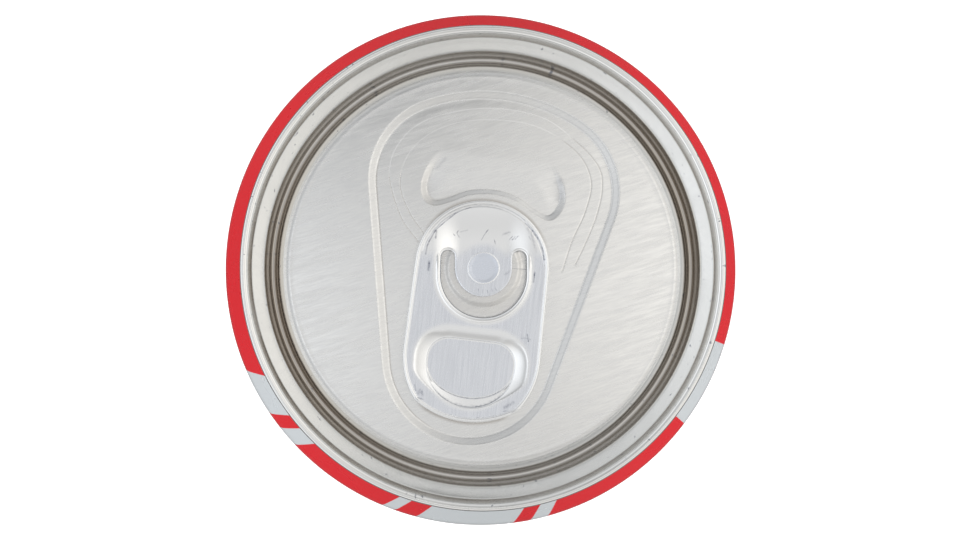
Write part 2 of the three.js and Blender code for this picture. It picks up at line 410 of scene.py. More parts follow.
# outline of the body: dome as a circle's arc, then filleted corners up to the neck and back to the axis
def bodyProfile(plan):
    rise = plan["domeHeight"] - plan["domeEdgeHeight"]
    domeRadius = (plan["domeEdge"] ** 2 + rise**2) / (2 * rise)
    reach = math.degrees(math.asin(plan["domeEdge"] / domeRadius))
    dome = arc((0, plan["domeHeight"] - domeRadius), domeRadius, 90, 90 - reach, 26)[1:-1]
    walls = roundedProfile([
        (plan["domeEdge"], plan["domeEdgeHeight"]),
        (plan["footInner"] - plan["footLean"], plan["domeFold"], plan["foldFillet"]),
        (plan["footInner"], 0, plan["footFillets"][0]),
        (plan["footOuter"], 0, plan["footFillets"][1]),
        (*plan["toe"], plan["toeFillet"]),
        (bodyRadius, plan["heelHeight"], plan["heelFillet"]),
        (bodyRadius, canHeight - plan["shoulderDepth"], plan["shoulderFillet"]),
        (plan["neckRadius"], canHeight - plan["neckDepth"], plan["neckFillet"]),
        (plan["neckRadius"], canHeight - plan["topDepth"]),
        (plan["insideRadius"], canHeight - plan["topDepth"]),
        (plan["innerWall"][0], canHeight - plan["innerWall"][1]),
        (plan["innerFloor"][0], canHeight - plan["innerFloor"][1]),
    ])
    return np.vstack([dome, walls])


# print on the body: red ground, slanted bands and one plain field, all as fields of colour
printPlan = {
    "red": (0.62, 0.004, 0.012, 1), "white": (0.53, 0.56, 0.58, 1), "bare": (0.80, 0.80, 0.79, 1),
    "slant": 0.62, "slantFrom": 8,      # degrees round the can for each millimetre up from this depth
    "bands": [(214, 225), (229, 234), (258, 261), (266, 288), (292, 296)],   # degrees at that depth
    "field": (331, 351), "soft": 0.1,   # degrees: the plain white field, and the softness of all edges
    "fieldFoot": (23.95, 24.05), "printFoot": (6.3, 6.5), "printInner": 23.5,
    "smearSize": 120.0, "rough": (0.26, 0.31), "inkMetallic": 0.12,
}


# mask of the places where value lies between low and high, with a hair's width of softness
def between(tree, value, low, high, soft):
    rise = mapped(tree, value, low - soft, low + soft)
    fall = mapped(tree, value, high - soft, high + soft, 1.0, 0.0)
    return maths(tree, "MULTIPLY", rise, fall)


def makePrint(plan):
    material, tree, shader, place = newMaterial("canPrint")
    x, y, z = millimetres(tree, place)
    angle = maths(tree, "DEGREES", maths(tree, "ARCTAN2", y, x))
    turned = maths(tree, "FLOORED_MODULO", angle, 360.0)
    rise = maths(tree, "SUBTRACT", z, canHeight - plan["slantFrom"])
    lift = maths(tree, "MULTIPLY", rise, plan["slant"])
    slanted = maths(tree, "FLOORED_MODULO", maths(tree, "SUBTRACT", angle, lift), 360.0)
    field = between(tree, turned, *plan["field"], plan["soft"])
    white = maths(tree, "MULTIPLY", field, mapped(tree, z, *plan["fieldFoot"]))
    for low, high in plan["bands"]:
        white = maths(tree, "MAXIMUM", white, between(tree, slanted, low, high, plan["soft"]))
    inner = maths(tree, "LESS_THAN", maths(tree, "SQRT", squares(tree, x, y)), plan["printInner"])
    bare = maths(tree, "MAXIMUM", mapped(tree, z, *plan["printFoot"], 1.0, 0.0), inner)
    smear = placeGroup(tree, handling, Vector=place, Size=plan["smearSize"])["Smear"]
    colour = mixedColour(tree, white, plan["red"], plan["white"])
    feed(tree, shader,
         Base_Color=mixedColour(tree, bare, colour, plan["bare"]),
         Metallic=mapped(tree, bare, 0.0, 1.0, plan["inkMetallic"], 1.0),
         Roughness=mapped(tree, smear, 0.0, 1.0, *plan["rough"]),
         Specular_IOR_Level=0.3, Coat_Weight=0.25, Coat_Roughness=0.12)
    return material


def makeBody(plan):
    profile = bodyProfile(plan)
    segments = plan["segments"]
    ring = turnedPoints(profile, segments)
    poles = np.array([[0, 0, plan["domeHeight"]], [0, 0, canHeight - plan["innerFloor"][1]]])
    count = len(ring)
    faces = [
        ringQuads(len(profile), segments),
        poleFan(0, segments, count, False),
        poleFan(count - segments, segments, count + 1, True),
    ]
    addPiece("canBody", np.vstack([ring, poles]), faces, makePrint(printPlan), "body")


makeBody(bodyPlan)

# can end
endPlan = {
    "segments": 288, "shankSegments": 96,
    "underRadius": 24.0, "underDepth": 7.25, "backWall": (24.6, 4.35),
    "hookRadius": 25.84, "seamHeight": 2.5, "seamInner": 26.22, "seamFillets": (0.3, 0.5),
    "wallTop": (25.65, 2.05, 1.6), "wallFoot": (24.25, 4.2, 2.4),   # radius, depth and fillet
    "grooveOuter": 23.62, "grooveInner": 23.06, "grooveDepth": 6.9, "grooveFillets": (0.3, 0.26),
    "panelRadius": 22.58, "panelDepth": 4.55, "panelFillet": 1.58, "edgeRing": 21.3,
    "grooveShade": (0.36, 0.74), "grooveShadeAxis": 23, "grooveShadeOuter": (4.3, 5.0), "grooveShadeInner": (5.5, 6.0),
    "crown": 0.55,                       # the drink's pressure lifts the middle of the panel over its edge
    "recessReach": 19.4, "recessCorner": 9.0, "recessSide": 11.53, "recessTail": 19.35, "recessTilt": 12.45,
    "recessDepth": 0.2, "recessRight": 0.08, "recessSpan": (-12, 12), "recessWall": 0.98,
    "floorDip": 0.02, "dipWide": 1, "dipFrom": (10, 15),
    "recessFootShade": 0.42, "footWide": 0.12, "footFade": (8, 13), "leftFrom": (1.0, 6.0),
    "basinDepth": 0.14, "basinWall": (0.55, 0.78), "basinEnds": (5.6, 7.2), "basinFade": (8.0, 12.8),
    "basinRise": 0.5, "basinRiseOver": 4, "basinWallShade": 0.14, "basinSoft": (0.1, 0.3),
    "scoreDepth": 0.007, "scoreHalf": 0.11, "scoreShade": 0.3,
    "scoreHighlight": {"outerScore": 3.6, "innerScore": 3.0}, "highlightLean": 0.35, "highlightFrom": (12.4, 14.8),
    "slotShadow": 0.15, "slotReach": (5.0, 5.6),
    "tabEdgeShadow": 0.5, "edgeInside": (-0.4, -0.1), "edgeOutside": (0, 0.45),
    # the tab's round ends, each with its side, how far round it the painted shadow goes and its rows of
    # points
    "nose": {"centre": (-0.05, 0.07), "radius": 7.5, "side": 1, "facing": (0.3, 0.8),
             "rows": (15, 165, 140)},
    "heel": {"centre": (0.12, -7.2), "radius": 10, "side": -1, "facing": (0.84, 0.92),
             "rows": (225, 315, 120)},
    "rivet": (0.12, 0.07), "rivetHead": 1.82, "rivetShank": 1.2, "rivetLift": 0.84, "rivetHeight": 0.38,
    "headDish": 0.02, "headShade": 0.8, "headHighlight": 0.8,
    "bossRadius": (3.85, 4.35), "bossHeight": 0.08,
    "outerScore": [(-7.5, 2.0), (-9.85, 4.6), (-11.76, 9.18), (-11.0, 12.9), (-8.05, 15.8), (-2.1, 17.8),
                   (4.06, 17.7), (8.3, 15.6), (11.2, 13.2), (12.0, 10.8), (11.8, 7.65), (11.0, 4.4),
                   (10.25, 2.06)],
    "innerScore": [(-7.0, 3.0), (-9.04, 5.3), (-10.4, 8.3), (-9.76, 11.9), (-6.8, 14.9), (-2.1, 16.5),
                   (3.65, 16.6), (8.45, 14.5), (10.64, 11.5), (10.5, 8.0), (9.5, 4.5), (8.9, 1.1)],
    "basin": [(-6.2, 13.2), (-7.4, 11.3), (-8.0, 9.6), (-8.1, 8.1), (-7.6, 6.8), (-6.4, 6.2), (-4.5, 6.9),
              (-2.6, 7.9), (0.0, 8.37), (2.6, 8.0), (4.7, 6.9), (6.5, 6.3), (7.6, 7.0), (8.15, 8.5),
              (8.0, 9.9), (7.4, 11.2), (6.2, 13.2)],
    "scuffsAndShade": [
        (0.3, 0.15, [(-6.6, 10.4), (-5.8, 11.6)]),
        (0.7, 0.25, [(7.2, 10.9), (7.5, 9.9), (7.4, 9.0)]),
        (0.3, 0.15, [(6.7, 10.7), (7.4, 10.3)]),
        (0.25, 0.1, [(6.3, 6.7), (7.0, 7.2)]),
        (0.05, 0.4, [(3.3, 0.5), (4.8, 0.6)]),
    ],
}


# closed outline of the panel's recess: tail arc, corner arc, reach arc, corner arc, straight sides between
def recessLoop(plan):
    tilt, side, corner = plan["recessTilt"], plan["recessSide"], plan["recessCorner"]
    tailY = (plan["recessTail"] - side) / (1 - math.sin(math.radians(tilt)))
    cornerReach = plan["recessReach"] - corner
    turn = math.degrees(math.acos((side - corner) / cornerReach)) - tilt
    cornerX = cornerReach * math.cos(math.radians(turn))
    cornerY = cornerReach * math.sin(math.radians(turn))
    loop = np.vstack([
        arc((0, -tailY), plan["recessTail"] - tailY, 180 + tilt, 360 - tilt),
        arc((cornerX, cornerY), corner, -tilt, turn),
        arc((0, 0), plan["recessReach"], turn, 180 - turn),
        arc((-cornerX, cornerY), corner, 180 - turn, 180 + tilt),
    ])
    return resample(loop, 0.16)


# panel height: level, less the crown's parabola, the recess, the fading basin and the scores, plus the boss
# the second result is painted shade at the foot of the walls, in the scores and round the tab's ends
# below 0 it is a painted highlight, on the far side of the scores
def panelHeight(points, plan, lines):
    x, y = points.T
    wall = plan["recessWall"] / 2
    recess = distanceTo(points, lines["recess"])
    basin = distanceTo(points, lines["basin"])
    sunk = ramp(recess, -wall, wall)
    height = -plan["crown"] * (points**2).sum(1) / plan["edgeRing"] ** 2
    height -= (plan["recessDepth"] + plan["recessRight"] * ease(x, *plan["recessSpan"])) * sunk
    dip = sunk * (1 - ease(recess, wall, wall + plan["dipWide"])) * ease(y, *plan["dipFrom"])
    height -= plan["floorDip"] * dip
    narrow, wide = plan["basinWall"]
    basinWall = narrow + (wide - narrow) * ease(np.abs(x), *plan["basinEnds"])
    rising = 1 - plan["basinRise"] * ease(basin, basinWall, basinWall + plan["basinRiseOver"])
    fade = 1 - ease(y, *plan["basinFade"])
    height -= plan["basinDepth"] * ramp(basin, 0, basinWall) * rising * fade
    leftSide = ease(-x, *plan["leftFrom"])
    foot = ridge(recess - wall, plan["footWide"]) * (1 - ease(y, *plan["footFade"]))
    into, over = plan["basinSoft"]
    onBasinWall = ease(basin, -into, into) * (1 - ease(basin, basinWall, basinWall + over))
    # painted shade at the foot of the recess walls and on the basin's wall, on the left side only
    paintedShade = leftSide * (plan["recessFootShade"] * foot + plan["basinWallShade"] * onBasinWall * fade)
    # near the top the scores are shallower, and their painted shade turns into a painted highlight
    atTop = ease(y - plan["highlightLean"] * x, *plan["highlightFrom"])
    for name, topHighlight in plan["scoreHighlight"].items():
        score = distanceTo(points, lines[name], False)
        height -= plan["scoreDepth"] * np.clip(1 - score / plan["scoreHalf"], 0, 1) * (1 - atTop)
        paintedShade += plan["scoreShade"] * ridge(score, 0.8 * plan["scoreHalf"]) * (1 - topHighlight * atTop)
    fromRivet = np.linalg.norm(points - np.array(plan["rivet"]), axis=1)
    height += plan["bossHeight"] * (1 - ease(fromRivet, *plan["bossRadius"]))
    # painted shadow on the panel under the tab's slot
    paintedShade += plan["slotShadow"] * (1 - ease(fromRivet, *plan["slotReach"]))
    # painted shadow on the panel just outside the tab's nose and heel
    for end in (plan["nose"], plan["heel"]):
        away = points - np.array(end["centre"])
        distance = np.linalg.norm(away, axis=1)
        facing = ease(end["side"] * away[:, 1] / distance, *end["facing"])
        past = distance - end["radius"]
        near = ease(past, *plan["edgeInside"]) * (1 - ease(past, *plan["edgeOutside"]))
        paintedShade += plan["tabEdgeShadow"] * facing * near
    return height, np.clip(paintedShade, -0.9, 1)


# outline of the end from the middle of its underside over the seam to the panel's edge
def endProfile(plan):
    wallTop, wallFoot, backWall = plan["wallTop"], plan["wallFoot"], plan["backWall"]
    outerFillet, innerFillet = plan["seamFillets"]
    return roundedProfile([
        (plan["underRadius"], canHeight - plan["underDepth"]),
        (backWall[0], canHeight - backWall[1], outerFillet),
        (plan["hookRadius"], canHeight - plan["seamHeight"]),
        (seamRadius, canHeight - plan["seamHeight"], outerFillet),
        (seamRadius, canHeight, outerFillet),
        (plan["seamInner"], canHeight, innerFillet),
        (wallTop[0], canHeight - wallTop[1], wallTop[2]),
        (wallFoot[0], canHeight - wallFoot[1], wallFoot[2]),
        (plan["grooveOuter"], canHeight - plan["grooveDepth"], plan["grooveFillets"][0]),
        (plan["grooveInner"], canHeight - plan["grooveDepth"], plan["grooveFillets"][1]),
        (plan["panelRadius"], canHeight - plan["panelDepth"] - plan["crown"], plan["panelFillet"]),
        (plan["edgeRing"], canHeight - plan["panelDepth"] - plan["crown"]),
    ])


# painted shade in the groove: full below where each wall turns down, thicker along one axis by cosine
# squared
def grooveShade(profile, plan):
    radius, depth = profile[:, 0], canHeight - profile[:, 1]
    seen = np.arange(len(profile)) > len(profile) // 3
    outer = radius > (plan["grooveOuter"] + plan["grooveInner"]) / 2
    share = seen * np.where(outer, ease(depth, *plan["grooveShadeOuter"]), ease(depth, *plan["grooveShadeInner"]))
    around = np.linspace(0, 360, plan["segments"], endpoint=False) - plan["grooveShadeAxis"]
    thin, thick = plan["grooveShade"]
    return np.outer(share, thin + (thick - thin) * np.cos(np.radians(around)) ** 2).ravel()


# metal of the end: straight rolling lines on the panel, smears and specks on the seam and wall, and painted
# shade and painted highlight read from the points
endMetalPlan = {
    "colour": (0.84, 0.84, 0.83, 1), "line": (0.79, 0.79, 0.79, 1), "coined": (0.73, 0.765, 0.84, 1),
    "paintedShade": (0.3, 0.25, 0.2, 1), "paintedHighlight": (1, 1, 1, 1), "scuffAndShade": (0.12, 0.14, 0.19, 1),
    "rimFrom": (21.9, 22.4), "markSize": 160.0, "specks": 0.6, "rimRough": (0.13, 0.2),
    "panelTurn": -25.0, "grain": (700.0, 6000.0), "grainDepth": 0.0008, "panelRough": (0.21, 0.29),
}


def makeEndMetal(plan):
    material, tree, shader, place = newMaterial("endMetal")
    x, y, _ = millimetres(tree, place)
    rim = mapped(tree, maths(tree, "SQRT", squares(tree, x, y)), *plan["rimFrom"])
    flat = maths(tree, "SUBTRACT", 1.0, rim)
    along, across = plan["grain"]
    turn = math.radians(plan["panelTurn"])
    lines = placeGroup(tree, rollingLines, Vector=place, Turn=turn, Along=along, Across=across)
    marks = placeGroup(tree, handling, Vector=place, Size=plan["markSize"])
    paintedShade = attribute(tree, "paintedShade")
    tone = maths(tree, "MULTIPLY", mapped(tree, lines["Lines"], 0.3, 0.7), flat)
    colour = mixedColour(tree, tone, plan["colour"], plan["line"])
    colour = mixedColour(tree, attribute(tree, "coined"), colour, plan["coined"])
    # painted highlight where the painted shade is below 0, painted shade where it is above
    colour = mixedColour(tree, maths(tree, "MULTIPLY", paintedShade, -1.0), colour, plan["paintedHighlight"])
    colour = mixedColour(tree, paintedShade, colour, plan["paintedShade"])
    specks = maths(tree, "MULTIPLY", maths(tree, "MULTIPLY", marks["Specks"], rim), plan["specks"])
    # specks on the rim, with the scuffs and painted shade of the strokes
    shadeScuffsAndSpecks = maths(tree, "MAXIMUM", attribute(tree, "scuffAndShade"), specks)
    panelRough = mapped(tree, lines["Drift"], 0.25, 0.75, *plan["panelRough"])
    rimRough = mapped(tree, marks["Smear"], 0.0, 1.0, *plan["rimRough"])
    grain = maths(tree, "MULTIPLY", lines["Lines"], flat)
    bump = addNode(tree, "ShaderNodeBump", Strength=1.0, Distance=plan["grainDepth"] * mm, Height=grain)
    feed(tree, shader,
         Base_Color=mixedColour(tree, shadeScuffsAndSpecks, colour, plan["scuffAndShade"]),
         Roughness=mixedValue(tree, rim, panelRough, rimRough),
         Normal=bump.outputs[0], Metallic=1.0)
    return material


# loose points of the panel: rows beside every line of its relief, and an even lattice where those leave room
def panelPoints(plan, lines):
    rivet, reach, half = np.array(plan["rivet"]), plan["edgeRing"], plan["recessWall"] / 2
    scoreSteps = np.array([-2.6, -1.6, -1, -0.5, 0, 0.5, 1, 1.6, 2.6]) * plan["scoreHalf"]
    edgeSteps = np.linspace(-0.15, 0.5, 7)
    ends = [arc(end["centre"], end["radius"] + step, *end["rows"])
            for end in (plan["nose"], plan["heel"]) for step in edgeSteps]
    rows = thinned(np.vstack([
        besideLine(lines["outerScore"], scoreSteps, False),
        besideLine(lines["innerScore"], scoreSteps, False),
        besideLine(lines["recess"], np.linspace(-half - 0.25, half + 0.25, 19)),
        besideLine(lines["basin"], np.linspace(-0.2, plan["basinWall"][1] + 0.2, 17)),
        strokeRows(plan["scuffsAndShade"]),
        *ends,
        *[rivet + arc((0, 0), radius, 0, 360, 160)[:-1] for radius in np.linspace(3.2, 5.0, 14)],
    ]), 0.006)
    spread = np.vstack([rows, clearOf(lattice((-reach, -reach), (reach, reach), 0.45), rows, 0.22)])
    within = np.linalg.norm(spread, axis=1) < reach - 0.15
    clear = np.linalg.norm(spread - rivet, axis=1) > plan["rivetShank"] + 0.1
    return spread[within & clear]


# outline of the rivet's head: out from the shank, round its rim and in over the dished top
def headProfile(plan, foot, top):
    radius, dish = plan["rivetHead"], plan["headDish"]
    return roundedProfile([
        (plan["rivetShank"], foot),
        (radius, foot, 0.05),
        (radius, top, 0.11),
        (radius - 0.2, top - 0.1 * dish),
        (radius - 0.5, top - dish, 0.3),
        (0.2, top - dish),
    ], 12)


def makeEnd(plan):
    segments, shankSegments = plan["segments"], plan["shankSegments"]
    lines = {"recess": recessLoop(plan), "basin": resample(smoothLine(plan["basin"]), 0.16)}
    for name in plan["scoreHighlight"]:
        lines[name] = resample(smoothLine(plan[name]), 0.16, False)
    rivet, shankRadius = np.array(plan["rivet"]), plan["rivetShank"]
    edge = arc((0, 0), plan["edgeRing"], 0, 360, segments + 1)[:-1]
    shank = rivet + arc((0, 0), shankRadius, 0, 360, shankSegments + 1)[:-1]
    flat, faces = triangulated([edge, shank[::-1]], panelPoints(plan, lines),
                               lambda p: np.linalg.norm(p - rivet, axis=1) > shankRadius * 0.99)
    level = canHeight - plan["panelDepth"]
    height, paintedShade = panelHeight(flat, plan, lines)
    panel = np.column_stack([flat, level + height])
    profile = endProfile(plan)
    rim = turnedPoints(profile[:-1], segments)
    headFoot = level - plan["recessDepth"] + plan["rivetLift"]
    headTop = headFoot + plan["rivetHeight"]
    head = headProfile(plan, headFoot, headTop)
    headPoints = turnedPoints(head, shankSegments) + np.array([*rivet, 0])
    poles = np.array([[*rivet, headTop - plan["headDish"]], [0, 0, canHeight - plan["underDepth"]]])
    panelStart = len(rim)
    headStart = panelStart + len(panel)
    poleStart = headStart + len(headPoints)
    points = np.vstack([rim, panel, headPoints, poles])
    # the rim's last ring is the panel's own edge, and the head grows out of the shank's loop
    shankRing = panelStart + segments + np.arange(shankSegments)[::-1]
    foot = headStart + np.arange(shankSegments)
    collar = np.column_stack([shankRing, np.roll(shankRing, -1), np.roll(foot, -1), foot])
    end = addPiece("canEnd", points, [
        ringQuads(len(profile), segments),
        faces + panelStart,
        collar,
        ringQuads(len(head), shankSegments) + headStart,
        poleFan(poleStart - shankSegments, shankSegments, poleStart, True),
        poleFan(0, segments, poleStart + 1, False),
    ], makeEndMetal(endMetalPlan), "end")
    # painted shade under the head and a painted highlight line round its top
    onRing = (head[:, 0] > plan["rivetHead"] - 0.15) & (head[:, 1] > headTop - 0.1)
    onHead = np.where(head[:, 1] < headTop - 0.15, plan["headShade"], -plan["headHighlight"] * onRing)
    onRim = grooveShade(profile[:-1], plan)
    # painted shade of groove, panel and rivet head, one value for each point
    setAttribute(end, "paintedShade", np.concatenate([onRim, paintedShade, np.repeat(onHead, shankSegments), [0, 0]]))
    setAttribute(end, "coined", (np.arange(len(points)) >= headStart).astype(float))
    # scuffs and painted shade strokes on the panel
    scuffAndShadeAtPoints = np.zeros(len(points))
    scuffAndShadeAtPoints[panelStart:headStart] = strokeShade(flat, plan["scuffsAndShade"])
    setAttribute(end, "scuffAndShade", scuffAndShadeAtPoints)


makeEnd(endPlan)

# pull tab, in its own plane with the rivet at (0, 0) and the nose towards +y
tabPlan = {
    "turn": 1.35, "noseRadius": 7.5, "flare": 1.4, "waist": -9.85, "halfWidth": 7.71, "sideRadius": 9.0,
    "heelAngle": -38.5, "heelReach": 17.27, "edgeShift": -0.17,
    "slotRadius": 4.7, "slotDrop": 0.75, "islandRadius": 3.17, "capHeight": 1.17, "slotTurn": 6.2,
    "web": 0.98, "edgeMid": 0.85,
    "curlWide": 0.22, "curlHigh": 0.3, "curlPower": (2, 4), "curlShine": (0.42, 0.56),
    "creases": (0.4, 0.63), "creaseWide": 0.07, "creaseDeep": 0.05, "creaseFrom": (0.5, 4.0),
    "creaseShade": 0.3,
    "island": 0.84, "islandFoot": 0.3, "footReach": 0.3, "rollReach": 0.5, "chamfer": (0.07, 0.1),
    "hinge": (2.0, 3.4), "stepFoot": (-0.6, 1.7),
    "trough": 0.14, "troughSides": (2.5, 5.7), "troughFrom": (-3.0, 2.0), "troughTo": (2.4, 7.4),
    "hingeShine": (0.8, 2.4), "hingeShineRadius": (2.1, 3.2),
    "lipWide": 0.38, "lipFoot": 0.6, "lipTop": 1.12, "lipShine": (0.7, 1.1), "lipEnd": (-0.4, 1.8),
    "capFade": (0.6, 2.0), "capSides": (3.0, 4.3),
    "wellHalfWidth": 4.88, "wellShift": -0.18, "wellTop": -8.12, "wellWaist": -10.9, "wellBottom": -14.58,
    "wellCorner": 2.4, "plate": 0.25,
    "flank": (1.3, 1.45, 0.2),                   # width above, beside and below the well
    "flankDrop": (0.13, 0.45, 0.56, 0.1),        # fall of its gentle part above, left, right and below
    "flankBend": (3.0, 1.35), "flankTurn": (0.3, 0.95), "flankLower": (11.8, 14.8), "flankShine": (0.1, 0.5),
    "ledge": 0.42, "ledgeBottom": -15.56, "ledgeTilt": 0.006, "ledgeFrom": (11.6, 13.4),
    "footShade": 0.6, "plateFoot": (0.09, 12.4, 13.4), "ledgeFoot": (0.12, 13.2, 14.4),
    "scuffsAndShade": [
        (0.12, 0.85, [(-6.6, 0.8), (-6.5, 1.8), (-6.1, 2.9), (-5.7, 3.7), (-4.8, 4.7), (-3.8, 5.7)]),
        (0.08, 0.55, [(-3.8, 5.7), (-2.6, 6.4), (-1.1, 6.9)]),
        (0.15, 0.75, [(-5.7, 3.5), (-5.7, 2.7)]),
        (0.2, 1.0, [(-6.1, 0.0), (-6.1, -0.9)]),
        (0.12, 0.85, [(4.0, 5.5), (4.8, 4.9), (5.5, 4.1), (6.2, 3.0), (6.6, 1.7)]),
        (0.25, 0.25, [(4.3, 5.0), (5.0, 4.0), (5.6, 2.5)]),
        (0.15, 0.75, [(5.7, 0.2), (5.7, -0.9)]),
        (0.08, 0.55, [(-3.8, 3.4), (-3.6, 3.2)]),
        (0.08, 0.65, [(-3.3, 3.8), (-3.4, 3.5), (-3.1, 3.1)]),
        (0.15, 0.25, [(-3.0, 3.7), (-2.3, 4.0)]),
        (0.08, 0.7, [(-0.6, 3.1), (-0.3, 3.8), (0.0, 4.3)]),
        (0.08, 0.55, [(0.8, 3.3), (1.0, 2.8)]),
        (0.2, 0.25, [(1.7, 4.0), (2.4, 4.3)]),
        (0.08, 0.75, [(2.5, 3.5), (2.8, 3.9)]),
        (0.08, 0.75, [(2.8, 3.5), (3.1, 3.9)]),
        (0.08, 0.65, [(3.1, 3.6), (3.4, 4.0)]),
        (0.08, 0.4, [(4.6, 4.1), (4.8, 3.8)]),
        (0.12, 0.85, [(5.7, -6.8), (5.9, -7.5)]),
        (0.1, 0.5, [(5.1, -7.3), (5.5, -7.2), (6.1, -7.3)]),
        (0.1, 0.65, [(-6.1, -13.8), (-5.9, -14.4)]),
        (0.25, 0.55, [(-5.6, -14.7), (-5.4, -14.3), (-5.1, -14.8)]),
        (0.1, 0.65, [(-5.6, -15.2), (-5.0, -15.3)]),
        (0.3, 0.35, [(5.0, -14.5), (4.1, -15.2)]),
        (0.1, 0.45, [(4.0, -15.6), (4.4, -15.5)]),
        (0.2, 0.3, [(2.5, -0.4), (2.9, 0.0)]),
        (0.08, 0.4, [(-0.3, -2.4), (-0.3, -2.7)]),
        (0.08, 0.4, [(0.2, -2.4), (0.2, -2.7)]),
        (0.08, 0.4, [(0.7, -2.4), (0.8, -2.7)]),
        (0.08, 0.4, [(1.2, -2.2), (1.3, -2.5)]),
        (0.08, 0.35, [(1.5, -2.0), (1.7, -2.3)]),
        (0.08, 0.5, [(-5.9, -15.2), (-5.4, -15.6)]),
        (0.08, 0.5, [(5.6, -15.2), (5.0, -15.6)]),
    ],
}


# closed outline of the tab: nose arc, side arcs and the heel's arc through the two pinched corners
def tabLoop(plan):
    flare, side = plan["flare"], plan["sideRadius"]
    sideX = plan["halfWidth"] - side
    heel = math.radians(plan["heelAngle"])
    cornerX = sideX + side * math.cos(heel)
    cornerY = plan["waist"] + side * math.sin(heel)
    drop = plan["heelReach"] + cornerY
    heelRadius = (cornerX**2 + drop**2) / (2 * drop)
    swing = math.degrees(math.asin(cornerX / heelRadius))
    loop = np.vstack([
        arc((0, 0), plan["noseRadius"], flare, 180 - flare),
        arc((-sideX, plan["waist"]), side, 180 - flare, 180 - plan["heelAngle"]),
        arc((0, heelRadius - plan["heelReach"]), heelRadius, 270 - swing, 270 + swing),
        arc((sideX, plan["waist"]), side, plan["heelAngle"], flare),
    ])
    return resample(loop + np.array([plan["edgeShift"], 0]), 0.12)


# closed C-shaped slot: outer arc, straight sides up to two round caps and the island's arc, turned a little
def slotLoop(plan):
    outer, island, capY = plan["slotRadius"], plan["islandRadius"], plan["capHeight"]
    capX, cap = (outer + island) / 2, (outer - island) / 2
    loop = np.vstack([
        arc((0, -plan["slotDrop"]), outer, 180, 360),
        arc((capX, capY), cap, 0, 180),
        arc((0, 0), island, 0, -180),
        arc((-capX, capY), cap, 0, 180),
    ])
    return resample(turnedBy(loop, plan["slotTurn"]), 0.12)


# closed outline of the well: rounded shoulders above and half an ellipse down to bottom
def wellLoop(plan, bottom):
    half, corner = plan["wellHalfWidth"], plan["wellCorner"]
    top, waist = plan["wellTop"] - corner, plan["wellWaist"]
    loop = np.vstack([
        arc((half - corner, top), corner, 0, 90),
        arc((corner - half, top), corner, 90, 180),
        arc((0, waist), (half, waist - bottom), 180, 360),
    ])
    return resample(loop + np.array([plan["wellShift"], 0]), 0.12)


# height of web and well: flat plate, tilted ledge below it, steep foot and a gentle flank up to the web
# well and rim are the distances from the plate and from the ledge's outer line
def wellHeight(x, y, well, rim, plan):
    web, plate = plan["web"], plan["plate"]
    above, beside, below = plan["flank"]
    dropAbove, dropLeft, dropRight, dropBelow = plan["flankDrop"]
    bendAbove, bendBeside = plan["flankBend"]
    aside = np.maximum(np.abs(x - plan["wellShift"]) - plan["wellHalfWidth"] + plan["wellCorner"], 0)
    upward = np.maximum(y - plan["wellTop"] + plan["wellCorner"], 0)
    sideways = ease(aside / np.maximum(np.hypot(aside, upward), 1e-6), *plan["flankTurn"])
    lower = ease(-y, *plan["flankLower"])
    wide = above + (beside - above) * sideways
    wide += (below - wide) * lower
    drop = dropAbove + (np.where(x < plan["wellShift"], dropLeft, dropRight) - dropAbove) * sideways
    drop += (dropBelow - drop) * lower
    bend = bendAbove + (bendBeside - bendAbove) * sideways
    tilted = plan["ledge"] + plan["ledgeTilt"] * np.minimum(x, 0) ** 2
    ledge = plate + (tilted - plate) * ease(-y, *plan["ledgeFrom"])
    gentle = drop * (1 - (1 - np.clip(rim / wide, 0, 1)) ** bend)
    flank = ledge + (web - ledge - drop) * ease(rim, 0, 0.1) + gentle
    height = np.where(rim <= 0, plate + (ledge - plate) * ease(well, 0, 0.06), flank)
    # the flank's top is burnished, with a painted sheen
    before, after = plan["flankShine"]
    burnishAndSheen = np.where(well <= -0.1, 0, 1 - ease(rim, wide - before, wide + after))
    return height, burnishAndSheen


# rounded rim: an arch over a band beside a line, 1 in the band's middle and 0 at its sides
def arched(distance, halfWidth, power=2):
    off = np.clip(np.abs(halfWidth - distance) / halfWidth, 0, 1)
    return (1 - off**power) ** (1 / power)


# form with a rim: the rim itself out to its crest, then whichever is higher until the rim has come down
def withRim(height, rim, distance, halfWidth):
    return np.where(distance < halfWidth, rim, np.maximum(height, rim * (distance < 2 * halfWidth)))
